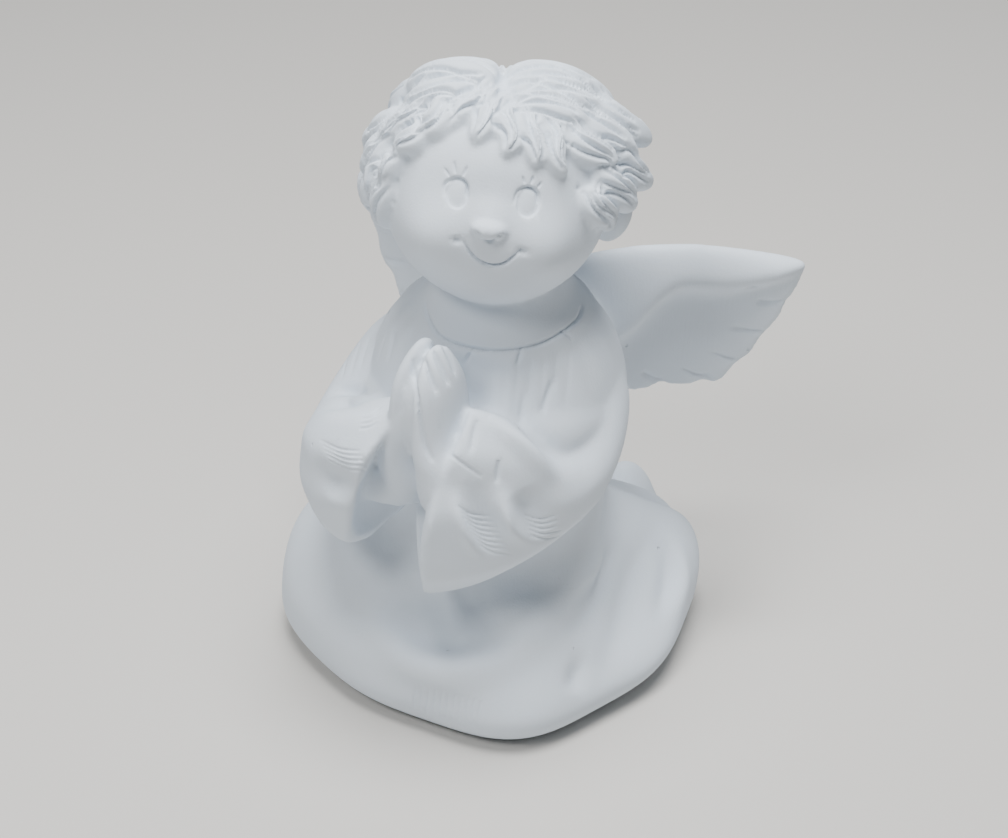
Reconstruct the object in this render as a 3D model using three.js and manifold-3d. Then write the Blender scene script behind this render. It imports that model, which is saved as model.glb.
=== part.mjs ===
// A small kneeling angel at prayer, cast in white plaster as one piece and standing on its flat underside.
// Millimetres, +Z up. The figure faces -Y and its left side is +X. The origin is on the underside.
import * as THREE from 'three';
import { mergeVertices } from 'three/addons/utils/BufferGeometryUtils.js';
import Module from 'manifold-3d';

const { clamp, lerp, smoothstep, degToRad, radToDeg, euclideanModulo } = THREE.MathUtils;
const vec = (x, y, z) => new THREE.Vector3(x, y, z);
const up = vec(0, 0, 1);

// Driving dimensions: the robe pooled over the folded legs, and the body above it
const robe = { x: -3, y: 1, reach: 27.5, rim: 5.5, height: 28, round: 1.6, blend: 6 };
const seam = { height: 13.5, slope: 0.155, depth: 1.5, bearing: 5, spread: 30 };
const trunk = { x: -1.2, top: 59.5, neckRadius: 11, halfWidth: 18.6, neckDepth: 10.6, halfDepth: 14 };
const foot = { aside: 12.5, back: 29, half: vec(6.5, 9.3, 13) };
const collar = { height: 58.5, radius: 12.6, tilt: degToRad(4), neckTop: 68, neckRadius: 9.8 };

// Where the legs swell the robe: bearing and spread in degrees, then more reach, height and roundness
const swells = {
  rightThigh: { bearing: 198, spread: 38, reach: 3.6, height: 8, round: 1.3 },
  rightHeel: { bearing: 148, spread: 30, reach: 3, height: 1, round: 0 },
  leftKnee: { bearing: 305, spread: 24, reach: 1.8, height: 0, round: 0 },
  leftHip: { bearing: 350, spread: 36, reach: 0, height: -6, round: 0 },
  leftCalf: { bearing: 38, spread: 29, reach: 5.5, height: 0, round: 1.6 },
  betweenKnees: { bearing: 250, spread: 26, reach: -1.8, height: 0, round: 0 },
};

// Head, face and hair
const head = {
  radius: 15.2, centre: vec(-0.2, -2, 77.8), turn: degToRad(19), pitch: degToRad(14), roll: degToRad(6),
};
const eye = { aside: 4.9, above: 2.1, halfWidth: 1.7, halfHeight: 2.2, depth: 1.1 };
const nose = { above: -1.9, half: vec(1.95, 1.5, 1.35) };
const smile = { halfWidth: 4.6, cornerBelow: 4, sag: 3, radius: 0.42 };
const hair = { centre: vec(0, 2.4, 1.2), half: vec(16, 15.8, 13.8), lift: 1.2, flick: 4.5 };
const hairline = { brow: degToRad(40), nape: degToRad(-34) };

// Sleeves and hands
const sleeve = { wall: 1.3, halfWidth: 6.9, elbow: 6.8, cuffRise: 13.5, rim: 0.74 };
const arms = {
  left: {
    path: [vec(9, 3, 53), vec(12.8, -1, 46), vec(13, -9, 41), vec(8, -17.5, 40.5), vec(-2.2, -22, 41.5)],
    cuffUp: vec(0.22, 0.1, 0.97),
    cuffDrop: 17.3,
  },
  right: {
    path: [vec(-12, 3, 53), vec(-16.5, -1, 46), vec(-18.5, -10, 40), vec(-16, -18, 40.5), vec(-9, -22, 42)],
    cuffUp: vec(0.33, 0.03, 0.94),
    cuffDrop: 12.8,
  },
};
const hands = { x: -1.8, y: -21, wrist: 39, knuckles: 52.5, tip: 63.5, halfWidth: 5.2, halfThickness: 2.6 };

// Wings: swept back from the shoulder blades, thick along the top edge and thin at the feathers
const wing = { span: 31.7, root: 6.5, x: 7, y: 15.6, sweep: degToRad(25), halfThickness: 3.2, feathers: 7 };
const wingEdge = { top: 57.5, arch: 4.7, rootLow: 36, bendLow: 37.8, bend: 0.66, tipLow: 57.2 };

const wasm = await Module();
wasm.setup();

const bell = (x, width) => Math.exp(-((x / width) ** 2));

// One at a bearing in degrees round the figure, fading away within two spreads either side.
function lobe(theta, bearing, spread) {
  const turn = euclideanModulo(theta - degToRad(bearing) + Math.PI, 2 * Math.PI) - Math.PI;
  return bell(turn, degToRad(spread));
}

// A closed form: a sphere whose points are moved to where place() puts them.
// theta runs round +Z from +X, phi from the top pole to the bottom one, and n is the unit direction.
function form(around, along, place) {
  const geometry = new THREE.SphereGeometry(1, around, along).rotateX(Math.PI / 2);
  const position = geometry.getAttribute('position');
  for (let i = 0; i < position.count; i++) {
    const n = vec().fromBufferAttribute(position, i);
    const p = place(Math.atan2(n.y, n.x), Math.acos(clamp(n.z, -1, 1)), n);
    position.setXYZ(i, p.x, p.y, p.z);
  }
  return geometry;
}

function ellipsoid(centre, half, around = 12, along = 8) {
  return form(around, along, (theta, phi, n) => n.multiply(half).add(centre));
}

// A rounded strand along a curve. Its half width and half thickness are functions of t, 0 to 1,
// and facing(point) is the direction that its broad side looks in.
function strand(points, halfWidth, halfThickness, facing, around, along) {
  const curve = new THREE.CatmullRomCurve3(points);
  return form(around, along, (theta, phi) => {
    const t = (1 - Math.cos(phi)) / 2;
    const point = curve.getPoint(t);
    const tangent = curve.getTangent(t);
    const side = vec().crossVectors(tangent, facing(point)).normalize();
    const lift = vec().crossVectors(side, tangent);
    const round = Math.sin(phi) ** 0.7;
    return point
      .addScaledVector(side, Math.cos(theta) * halfWidth(t) * round)
      .addScaledVector(lift, Math.sin(theta) * halfThickness(t) * round);
  });
}

// The solid inside a closed geometry, whichever way its faces were wound.
function solid(geometry) {
  geometry.deleteAttribute('normal');
  geometry.deleteAttribute('uv');
  const merged = mergeVertices(geometry, 1e-4);
  const vertProperties = merged.getAttribute('position').array;
  const triVerts = new Uint32Array(merged.index.array);
  const made = new wasm.Manifold(new wasm.Mesh({ numProp: 3, vertProperties, triVerts }));
  if (made.volume() > 0) return made;
  return new wasm.Manifold(new wasm.Mesh({ numProp: 3, vertProperties, triVerts: triVerts.reverse() }));
}

const join = (geometries) => geometries.map(solid).reduce((a, b) => a.add(b));

// The body's half size in direction theta at height z, widest across the upper arms.
function bodyReach(theta, z) {
  const below = trunk.top - z;
  const shoulder = lerp(trunk.neckRadius, trunk.halfWidth, 1 - Math.exp(-below / 4.5));
  const wide = shoulder - 2.4 * smoothstep(below, 14, 36);
  const deep = lerp(trunk.neckDepth, trunk.halfDepth, smoothstep(below, 0, 22));
  return 1 / Math.hypot(Math.cos(theta) / wide, Math.sin(theta) / deep);
}

// The pool of cloth round the legs, standing on a rim that tucks under at the ground.
function poolReach(theta, z) {
  let { reach, height, round } = robe;
  for (const swell of Object.values(swells)) {
    const amount = lobe(theta, swell.bearing, swell.spread);
    reach += swell.reach * amount;
    height += swell.height * amount;
    round += swell.round * amount;
  }
  const rise = (z - robe.rim) / (height - robe.rim);
  return reach * (rise > 0 ? Math.max(0, 1 - rise ** round) : 1 - 0.14 * (1 - z / robe.rim) ** 2);
}

// Cloth folds: the seam where the lap falls over the left calf, and a roll along the front of the lap.
function foldReach(theta, z) {
  const off = z - seam.height - seam.slope * radToDeg(theta);
  const drape = 1.6 * bell(off - 4.5, 3.5) - seam.depth * bell(off, 2.4) + bell(off + 6, 4);
  const roll = bell(z - 11, 2.6) - 1.2 * bell(z - 15.5, 2.6);
  return lobe(theta, seam.bearing, seam.spread) * drape + lobe(theta, 270, 34) * roll;
}

// The robe from the collar over the shoulders to the pool of cloth round the legs.
function gown() {
  return form(36, 24, (theta, phi) => {
    const t = phi / Math.PI;
    const z = t < 0.5 ? trunk.top - 36 * (2 * t) ** 1.4 : lerp(24, -2, 2 * t - 1);
    const body = bodyReach(theta, z);
    const pool = poolReach(theta, z);
    const blended = (body + pool + Math.hypot(body - pool, robe.blend)) / 2 + foldReach(theta, z);
    const r = t > 0.02 && t < 0.98 ? blended : 0;
    const x = lerp(robe.x, trunk.x, smoothstep(z, 15, 45)) + r * Math.cos(theta);
    const y = robe.y + r * Math.sin(theta);
    return vec(x, y, z + y * Math.tan(collar.tilt) * Math.exp((z - trunk.top) / 8));
  });
}

// The bare neck, flaring down into the collar.
function neck() {
  return form(20, 8, (theta, phi) => {
    const z = lerp(collar.neckTop, collar.height - 5, phi / Math.PI);
    const flare = smoothstep(collar.neckTop - 3 - z, 0, collar.neckTop - 3 - collar.height) ** 2;
    const r = lerp(collar.neckRadius, collar.radius, flare) * Math.sin(phi) ** 0.15;
    const y = r * Math.sin(theta) - 0.5;
    return vec(r * Math.cos(theta), y, z + y * Math.tan(collar.tilt));
  });
}

// How far the head's surface lies from its centre in direction n, with full cheeks and a soft chin.
function headReach(n) {
  const facing = Math.max(0, -n.y);
  const cheek = facing * bell(Math.abs(n.x) - 0.5, 0.28) * bell(n.z + 0.3, 0.28);
  const chin = facing * bell(n.x, 0.35) * bell(n.z + 0.72, 0.3);
  const brow = facing * bell(n.x, 0.6) * bell(n.z - 0.15, 0.22);
  return head.radius * (1 + 0.1 * cheek + 0.06 * chin - 0.03 * brow);
}

// The point of the face at a place left or right of its middle and above or below it.
function facePoint(aside, above) {
  const depth = Math.sqrt(head.radius ** 2 - aside ** 2 - above ** 2);
  const n = vec(aside, -depth, above).normalize();
  return n.clone().multiplyScalar(headReach(n));
}

function skull() {
  return form(24, 14, (theta, phi, n) => n.clone().multiplyScalar(headReach(n)));
}

function eyeball(side, grow, sink) {
  const centre = facePoint(side * eye.aside, eye.above).multiplyScalar(1 - sink / head.radius);
  return ellipsoid(centre, vec(eye.halfWidth + grow, eye.depth + grow, eye.halfHeight + grow), 10, 8);
}

function smileLine() {
  const points = [-1, -0.6, 0, 0.6, 1].map((k) =>
    facePoint(k * smile.halfWidth, -smile.cornerBelow - smile.sag * (1 - k * k)));
  return strand(points, () => smile.radius, () => smile.radius * 1.6, (p) => p, 6, 12);
}

// A point over the scalp: turn is measured from the front towards the left, rise above the head's equator.
function scalpPoint(turn, rise, off) {
  const n = vec(Math.sin(turn) * Math.cos(rise), -Math.cos(turn) * Math.cos(rise), Math.sin(rise));
  return n.clone().multiply(hair.half).addScaledVector(n, off).add(hair.centre);
}

// Locks fall from the crown in rows, each row over the one below, and flick outwards on the left side.
// The first row ends along the hairline, the others at their own height above it.
function locks() {
  const rows = [
    { count: 14, end: hairline.nape, fall: 0.6, halfWidth: 2.8, halfThickness: 1.7 },
    { count: 9, end: -0.15, fall: 0.7, halfWidth: 3.6, halfThickness: 1.9 },
    { count: 9, end: 0.34, fall: 0.7, halfWidth: 3.8, halfThickness: 2 },
    { count: 8, end: 0.84, fall: 0.6, halfWidth: 3.8, halfThickness: 2 },
    { count: 4, end: 1, fall: 0.5, halfWidth: 4.6, halfThickness: 2.2 },
  ];
  const made = [];
  rows.forEach((row, tier) => {
    for (let k = 0; k < row.count; k++) {
      const turn = ((k + 0.5) / row.count - 0.5) * 2 * Math.PI;
      const edge = lerp(hairline.brow, hairline.nape, smoothstep(Math.abs(turn), 0.45, 1.9));
      if (tier > 0 && row.end < edge + 0.1) continue;
      const wave = Math.sin(k * 2.4 + tier * 1.7);
      const end = Math.max(row.end, edge) + 0.08 * wave;
      const flick = hair.flick * bell(turn - 1.5, 0.6) * bell(end, 0.8);
      const drift = 0.4 * Math.sin(turn) + 0.22 * wave;
      const points = [0, 0.4, 0.75, 1].map((t) => scalpPoint(
        turn + drift * (t * t - 0.4),
        lerp(end + row.fall, end, t),
        hair.lift * (Math.sin(t * 2.6) - 0.4) + flick * t ** 3,
      ));
      const halfWidth = (t) => row.halfWidth * lerp(1, 0.65, t * t);
      made.push(strand(points, halfWidth, () => row.halfThickness, (p) => p, 6, 5));
    }
  });
  return made;
}

// The head with its nose, sunken eyes, incised smile and hair, turned and bowed into place.
function headSolid() {
  const noseTip = ellipsoid(facePoint(0, nose.above).multiplyScalar(1.02), nose.half, 10, 6);
  let whole = join([skull(), noseTip]);
  for (const side of [-1, 1]) {
    whole = whole.subtract(solid(eyeball(side, 0.3, 0))).add(solid(eyeball(side, 0, 0.75)));
  }
  whole = whole.subtract(solid(smileLine()));
  whole = whole.add(join([ellipsoid(hair.centre, hair.half, 16, 10), ...locks()]));
  const place = new THREE.Matrix4()
    .makeRotationFromEuler(new THREE.Euler(-head.pitch, head.roll, head.turn, 'ZXY'))
    .setPosition(head.centre);
  return whole.transform(place.elements);
}

// A bell sleeve from the shoulder round the elbow to a tall open cuff, and back inside as its lining.
function bellSleeve(arm) {
  const curve = new THREE.CatmullRomCurve3(arm.path);
  return form(15, 13, (theta, phi) => {
    const s = phi / Math.PI;
    const back = (s - sleeve.rim) / (1 - sleeve.rim);
    const inside = back > 0;
    const t = inside ? lerp(1, 0.5, back) : s / sleeve.rim;
    const above = up.clone().lerp(arm.cuffUp, t).normalize();
    const side = vec().crossVectors(curve.getTangent(t), above).normalize();
    const flare = smoothstep(t, 0.45, 1);
    const round = inside ? Math.sqrt(1 - back * back) : Math.min(1, (s / 0.16) ** 0.5);
    const fold = inside ? -sleeve.wall : 0.4 * flare * Math.cos(4 * theta + 5 * t);
    const rise = lerp(sleeve.elbow, sleeve.cuffRise, flare) - 2.5 * bell(t - 0.6, 0.16);
    const drop = lerp(sleeve.elbow, arm.cuffDrop, flare);
    const v = Math.sin(theta);
    return curve.getPoint(t)
      .addScaledVector(side, Math.cos(theta) * (sleeve.halfWidth + fold) * round)
      .addScaledVector(above, v * ((v > 0 ? rise : drop) + fold) * round);
  });
}

// A hand raised flat against the other: forearm out of its sleeve, palm, four fingers and a thumb.
function hand(side, arm) {
  const at = (y, z, x) => vec(hands.x + side * x, hands.y + y, z);
  const outwards = () => vec(side, 0, 1);
  const palm = [
    arm.path[2],
    arm.path[3],
    at(0.6, hands.wrist + 2, 5),
    at(0, hands.wrist + 7, 3.5),
    at(0.2, hands.knuckles + 3, 2.2),
  ];
  const palmWidth = (t) => lerp(3.6, hands.halfWidth, t);
  const made = [strand(palm, palmWidth, () => hands.halfThickness, outwards, 8, 8)];
  for (let k = 0; k < 4; k++) {
    const y = (k - 1.5) * 2.45;
    const tip = hands.tip - 0.5 * (k - 1.9) ** 2;
    const finger = [
      at(y, hands.knuckles - 2, 2.4),
      at(y * 0.96, lerp(hands.knuckles, tip, 0.5), 2.2),
      at(y * 0.8 + 0.4, tip, 1.1),
    ];
    made.push(strand(finger, () => 1.45, () => 1.5, outwards, 6, 5));
  }
  const thumb = [
    at(5, hands.wrist + 6, 3),
    at(6.2, hands.knuckles - 1, 2),
    at(5.6, hands.knuckles + 4, 1.2),
  ];
  made.push(strand(thumb, () => 1.6, () => 1.6, outwards, 6, 5));
  return made;
}

// One wing: a rolled leading edge above, a thin hollowed web below it and a scalloped trailing edge.
// u runs from root to tip and q from the lower edge to the upper one.
function wingPlate(side) {
  const upperEdge = (u) => wingEdge.top + wingEdge.arch * Math.sin(Math.PI * (u * 0.85 + 0.12));
  const lowerEdge = (u) => {
    const sweepUp = Math.max(0, (u - wingEdge.bend) / (1 - wingEdge.bend)) ** 1.35;
    const low = lerp(wingEdge.rootLow, wingEdge.bendLow, smoothstep(u, 0, wingEdge.bend));
    return lerp(low, wingEdge.tipLow, sweepUp);
  };
  const geometry = form(10, 22, (theta, phi) => {
    const u = phi / Math.PI;
    const q = Math.sin(theta);
    const end = Math.min(1, 6 * u, 2.4 * Math.sqrt(1 - u));
    const scallop = 0.9 * Math.abs(Math.sin(Math.PI * wing.feathers * u)) * smoothstep(u, 0.15, 0.3) * end;
    const middle = (upperEdge(u) + lowerEdge(u)) / 2;
    const edge = q > 0 ? upperEdge(u) : lowerEdge(u) - scallop;
    const thick = wing.halfThickness * lerp(0.32, 1, smoothstep(q, 0, 0.8)) * end;
    const hollow = 1.6 * bell(q - 0.05, 0.5) * Math.sin(Math.PI * Math.min(1, u * 1.1)) + 3 * (u - 0.4) ** 2;
    const z = lerp(middle, edge, Math.abs(q) * Math.min(1, 12 * u));
    return vec(lerp(-wing.root, wing.span, u), hollow + Math.cos(theta) * thick, z);
  });
  geometry.rotateZ(wing.sweep).translate(wing.x, wing.y, 0);
  return side > 0 ? geometry : geometry.scale(-1, 1, 1);
}

const forms = [gown(), neck(), bellSleeve(arms.left), bellSleeve(arms.right)];
forms.push(...hand(1, arms.left), ...hand(-1, arms.right));
for (const side of [-1, 1]) {
  forms.push(wingPlate(side), ellipsoid(vec(robe.x + side * foot.aside, foot.back, 0), foot.half, 10, 8));
}
const ground = solid(new THREE.BoxGeometry(200, 200, 40).translate(0, 0, -20));
const whole = join(forms).add(headSolid()).subtract(ground);

// The outside alone: pockets sealed in between overlapping forms are filled.
const [figure] = whole.decompose().sort((a, b) => b.volume() - a.volume());
const surface = figure.getMesh();
const geometry = new THREE.BufferGeometry();
geometry.setAttribute('position', new THREE.BufferAttribute(surface.vertProperties, 3));
geometry.setIndex(new THREE.BufferAttribute(surface.triVerts, 1));
geometry.computeVertexNormals();

const plaster = new THREE.MeshStandardMaterial({ color: 0xe9ecef, roughness: 0.92, metalness: 0 });
const angel = new THREE.Mesh(geometry, plaster);
angel.name = 'angel_figure';

const group = new THREE.Group();
group.add(angel);
export default group;
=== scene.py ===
import math
import bmesh
import bpy
import numpy as np
from mathutils import Matrix, Vector
from mathutils.bvhtree import BVHTree


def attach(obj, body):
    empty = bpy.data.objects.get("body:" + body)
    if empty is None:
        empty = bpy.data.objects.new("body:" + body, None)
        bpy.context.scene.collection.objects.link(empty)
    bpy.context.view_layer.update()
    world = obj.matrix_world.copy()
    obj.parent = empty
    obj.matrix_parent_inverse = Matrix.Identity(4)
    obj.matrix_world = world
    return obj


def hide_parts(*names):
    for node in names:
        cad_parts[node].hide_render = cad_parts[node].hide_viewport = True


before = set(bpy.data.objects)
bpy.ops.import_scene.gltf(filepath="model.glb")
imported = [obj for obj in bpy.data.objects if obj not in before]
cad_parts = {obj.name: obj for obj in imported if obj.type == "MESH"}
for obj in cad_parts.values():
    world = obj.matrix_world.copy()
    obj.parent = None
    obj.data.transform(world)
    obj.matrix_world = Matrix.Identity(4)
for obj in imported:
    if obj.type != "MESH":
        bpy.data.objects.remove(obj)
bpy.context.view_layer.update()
print("frame loaded")

view = dict(azimuth=22, elevation=33, aim=Vector((0, 0, 0.04)), distance=0.29,
            focal=2000, imageWidth=1008, imageHeight=838, sensor=36, clipStart=0.01)
mm = 0.001  # the figure is modelled in millimetres and scaled to metres at the end
skyward = np.array([0, 0, 1.0])

# Voxel size in mm and rounds of smoothing for each stage, then the triangles that are kept
sculpt = dict(robe=(0.6, 6), sleeves=(0.45, 3), figure=(0.36, 2), triangles=194000)


def bell(x, width):
    return np.exp(-(x / width) ** 2)


def mix(a, b, t):
    return a + (b - a) * t


def ease(x, low, high):
    t = np.clip((x - low) / (high - low), 0, 1)
    return t * t * (3 - 2 * t)


def lobe(theta, bearing, spread):  # 1 at a bearing in degrees, fading over two spreads
    turn = (theta - math.radians(bearing) + np.pi) % (2 * np.pi) - np.pi
    return bell(turn, math.radians(spread))


def stack(x, y, z):
    return np.stack(np.broadcast_arrays(x, y, z), axis=-1).astype(float)


def unit(v):
    return v / np.maximum(np.linalg.norm(v, axis=-1, keepdims=True), 1e-9)


def curveAt(points, t):  # smooth curve through a few points
    p = np.array(points, float)
    p = np.vstack([2 * p[0] - p[1], p, 2 * p[-1] - p[-2]])
    s = np.clip(t, 0, 1) * (len(p) - 3)
    i = np.minimum(s.astype(int), len(p) - 4)
    f = (s - i)[:, None]
    a, b, c, d = p[i], p[i + 1], p[i + 2], p[i + 3]
    return 0.5 * (2 * b + (c - a) * f + (2 * a - 5 * b + 4 * c - d) * f ** 2 + (3 * b - a - 3 * c + d) * f ** 3)


def tangentAt(points, t):
    return unit(curveAt(points, np.minimum(t + 0.01, 1)) - curveAt(points, np.maximum(t - 0.01, 0)))


def turned(degrees, axis, size):
    return Matrix.Rotation(math.radians(degrees), size, axis)


def addObject(name, data):
    made = bpy.data.objects.new(name, data)
    bpy.context.collection.objects.link(made)
    return made


def addForm(bm, place, around, along, spot=None):  # a closed skin: theta goes round it, phi from pole to pole
    form = bmesh.new()
    made = bmesh.ops.create_grid(form, x_segments=around, y_segments=along, size=1)["verts"]
    flat = np.array([v.co for v in made])
    theta, phi = np.pi * flat[:, 0], np.pi * (1 - flat[:, 1]) / 2
    n = stack(np.sin(phi) * np.cos(theta), np.sin(phi) * np.sin(theta), np.cos(phi))
    for vert, co in zip(made, place(theta, phi, n)):
        vert.co = co
    bmesh.ops.remove_doubles(form, verts=made, dist=1e-5)  # the seam and the poles
    if spot:
        bmesh.ops.transform(form, matrix=spot, verts=form.verts)
    mesh = bpy.data.meshes.new("form")
    form.to_mesh(mesh)
    form.free()
    bm.from_mesh(mesh)
    bpy.data.meshes.remove(mesh)


def addStrand(bm, points, halfWidth, halfThick, facing, spot=None, ridges=0, ridgeDepth=0, around=24, along=20):
    def place(theta, phi, n):
        t = (1 - np.cos(phi)) / 2
        centre = curveAt(points, t)
        tangent = tangentAt(points, t)
        side = unit(np.cross(tangent, facing(centre)))
        lift = np.cross(side, tangent)
        full = np.sin(phi) ** 0.7
        ripple = 1 + ridgeDepth * np.cos(ridges * theta)
        across = np.cos(theta) * halfWidth(t) * full
        outward = np.sin(theta) * halfThick(t) * full * ripple
        return centre + side * across[:, None] + lift * outward[:, None]
    addForm(bm, place, around, along, spot)


def throughModifier(bm, name, kind, **settings):  # the bmesh becomes what the modifier makes of it
    mesh = bpy.data.meshes.new(name)
    bm.to_mesh(mesh)
    holder = addObject(name, mesh)
    step = holder.modifiers.new(name, kind)
    for key, value in settings.items():
        setattr(step, key, value)
    made = bpy.data.meshes.new_from_object(holder.evaluated_get(bpy.context.evaluated_depsgraph_get()))
    bm.clear()
    bm.from_mesh(made)
    bpy.data.objects.remove(holder)
    bpy.data.meshes.remove(mesh)
    bpy.data.meshes.remove(made)


def fuse(bm, name):  # one softened skin round everything in the bmesh
    voxel, rounds = sculpt[name]
    throughModifier(bm, name, "REMESH", mode="VOXEL", voxel_size=voxel, adaptivity=0)
    print(name, "fused to", len(bm.faces), "faces")
    for _ in range(rounds):
        bmesh.ops.smooth_vert(bm, verts=bm.verts, factor=0.5, use_axis_x=True, use_axis_y=True, use_axis_z=True)


# The robe from the collar to the cloth pooled round the folded legs
gown = dict(x=-3, y=1, reach=27.5, rim=5.5, height=28, fullness=1.6, blend=6, tilt=4, undercut=0.14,
            bodyX=-1.2, top=59.5, neckRadius=11, halfWidth=18.6, neckDepth=12, halfDepth=16.6,
            waistWide=2.4, waistDeep=1.6, seamHeight=13.5, seamSlope=0.155, seamDepth=1.8, seamSwell=1.6,
            gathers=23, gatherDepth=0.3, chestRipple=0.35, chestSwell=2.4, rollDip=1.2,
            hemRipple=0.5, backFolds=8, backDepth=1.2)
collarSlope = math.tan(math.radians(gown["tilt"]))

# Bearing and spread in degrees, more reach and height in mm, more roundness
gownSwells = dict(
    rightThigh=(198, 38, 3.6, 8, 1.3), rightHeel=(148, 30, 3, 1, 0), leftKnee=(305, 24, 1.8, 0, 0),
    leftHip=(350, 36, 0, -6, 0), leftCalf=(38, 29, 5.5, 0, 1.6), betweenKnees=(250, 26, -1.8, 0, 0))


def gownReach(theta, z):
    below = gown["top"] - z
    wide = mix(gown["neckRadius"], gown["halfWidth"], 1 - np.exp(-below / 4.5))
    wide = wide - gown["waistWide"] * ease(below, 14, 36)
    deep = mix(gown["neckDepth"], gown["halfDepth"], ease(below, 0, 13))
    deep = deep - gown["waistDeep"] * ease(below, 16, 34)
    body = 1 / np.hypot(np.cos(theta) / wide, np.sin(theta) / deep)
    reach, height, fullness = gown["reach"], gown["height"], gown["fullness"]
    for bearing, spread, out, up, full in gownSwells.values():
        amount = lobe(theta, bearing, spread)
        reach = reach + out * amount
        height = height + up * amount
        fullness = fullness + full * amount
    rise = (z - gown["rim"]) / (height - gown["rim"])
    dome = np.maximum(0, 1 - np.maximum(rise, 0) ** fullness)
    pool = reach * np.where(rise > 0, dome, 1 - gown["undercut"] * (1 - z / gown["rim"]) ** 2)
    return (body + pool + np.hypot(body - pool, gown["blend"])) / 2


def gownFolds(theta, z):
    off = z - gown["seamHeight"] - gown["seamSlope"] * np.degrees(theta)
    drape = gown["seamSwell"] * bell(off - 4.5, 3.5) - gown["seamDepth"] * bell(off, 1.5) + bell(off + 6, 4)
    roll = bell(z - 11, 2.6) - gown["rollDip"] * bell(z - 15.5, 2.6)
    below = gown["top"] - z
    gather = np.cos(gown["gathers"] * theta + 2 * np.sin(3 * theta)) * bell(below - 2.5, 4)
    chest = gown["chestRipple"] * np.cos(11 * theta + 0.12 * z) * bell(z - 46, 8) * lobe(theta, 290, 60)
    chest = chest + gown["chestSwell"] * bell(z - 49, 6) * lobe(theta, 290, 36)
    hem = gown["hemRipple"] * np.cos(7 * theta + 1) * bell(z - 4, 6)
    back = gown["backDepth"] * np.cos(gown["backFolds"] * theta + 0.08 * z)
    hem = hem + back * lobe(theta, 90, 60) * bell(z - 20, 12)
    return lobe(theta, 5, 30) * drape + lobe(theta, 270, 34) * roll + gown["gatherDepth"] * gather + chest + hem


def addGown(bm):
    def place(theta, phi, n):
        t = phi / np.pi
        z = np.where(t < 0.5, gown["top"] - 36 * (2 * t) ** 1.4, mix(24, -2, 2 * t - 1))
        r = (gownReach(theta, z) + gownFolds(theta, z)) * np.where((t > 0.005) & (t < 0.995), 1, 0)  # shut ends
        x = mix(gown["x"], gown["bodyX"], ease(z, 15, 45)) + r * np.cos(theta)
        y = gown["y"] + r * np.sin(theta)
        return stack(x, y, z + y * collarSlope * np.exp((z - gown["top"]) / 8))
    addForm(bm, place, around=240, along=160)


# Feet behind the robe: heel up, sole to the back, toes on the ground
foot = dict(x=-3, aside=13, y=29.5, half=(6, 8.4, 15.5), arch=0.1, archHeight=8.5, ball=0.22, ballHeight=1,
            splay=0.12, toes=4, toeStep=2.7, toeAside=0.6, toeWidth=0.6, toeCut=0.9)


def addFoot(bm, side):
    def place(theta, phi, n):
        x, y, z = (n * np.array(foot["half"])).T
        arch = bell(z - foot["archHeight"], 3.4)
        wide = 1 - 0.7 * foot["arch"] * arch + foot["ball"] * bell(z - foot["ballHeight"], 5)
        x = x * wide + side * foot["splay"] * (6 - z)
        y = y * (1 - foot["arch"] * arch * ease(y, 0, 4))
        return stack(x + foot["x"] + side * foot["aside"], y + foot["y"], z)
    addForm(bm, place, around=120, along=90)


def toeStrokes():
    strokes = []
    for side in (-1, 1):
        middle = foot["x"] + side * (foot["aside"] + foot["toeAside"])
        for k in range(foot["toes"]):
            x = middle + foot["toeStep"] * (k - (foot["toes"] - 1) / 2)
            points = [(x, foot["y"] + 12, 0.4), (x, foot["y"] + 11, 5)]
            strokes.append(dict(points=points, width=foot["toeWidth"], height=-foot["toeCut"]))
    return strokes


collar = dict(y=-0.5, height=58.5, radius=12.6, sunk=5, neckTop=68, neckRadius=9.8, flare=3)


def addNeck(bm):
    def place(theta, phi, n):
        z = mix(collar["neckTop"], collar["height"] - collar["sunk"], phi / np.pi)
        flareFrom = collar["neckTop"] - collar["flare"]
        down = ease(flareFrom - z, 0, flareFrom - collar["height"])
        r = mix(collar["neckRadius"], collar["radius"], down ** 2) * np.sin(phi) ** 0.15
        y = r * np.sin(theta) + collar["y"]
        return stack(r * np.cos(theta), y, z + y * collarSlope)
    addForm(bm, place, around=64, along=32)


# Bell sleeves and the hands that come out of them
sleeve = dict(halfWidth=6.9, elbow=6.8, cuffRise=13.5, rim=0.74, mouth=0.92, foldDepth=0.45,
              flareFrom=0.45, crease=2.5, creaseAt=0.6, crookRadius=5)
arms = dict(
    left=dict(path=[(9, 3, 53), (12.1, -1, 46), (12.4, -9, 41), (8, -17, 40.5), (-2.8, -22.8, 41.5)],
              cuffUp=(0.2, 0.1, 0.97), cuffDrop=17.3, bow=3, wall=2.3,
              crook=[(15, -1, 46.5), (10, -10, 46.5), (3, -15, 48)]),
    right=dict(path=[(-12, 3, 53), (-16.5, -1, 46), (-18.5, -10, 40), (-16, -18, 40.5), (-7.4, -22, 42)],
               cuffUp=(0.33, 0.03, 0.94), cuffDrop=12.8, bow=0.6, wall=1.5,
               crook=[(-16, -2, 45), (-14, -10, 43), (-10, -15, 44)]))


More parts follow.
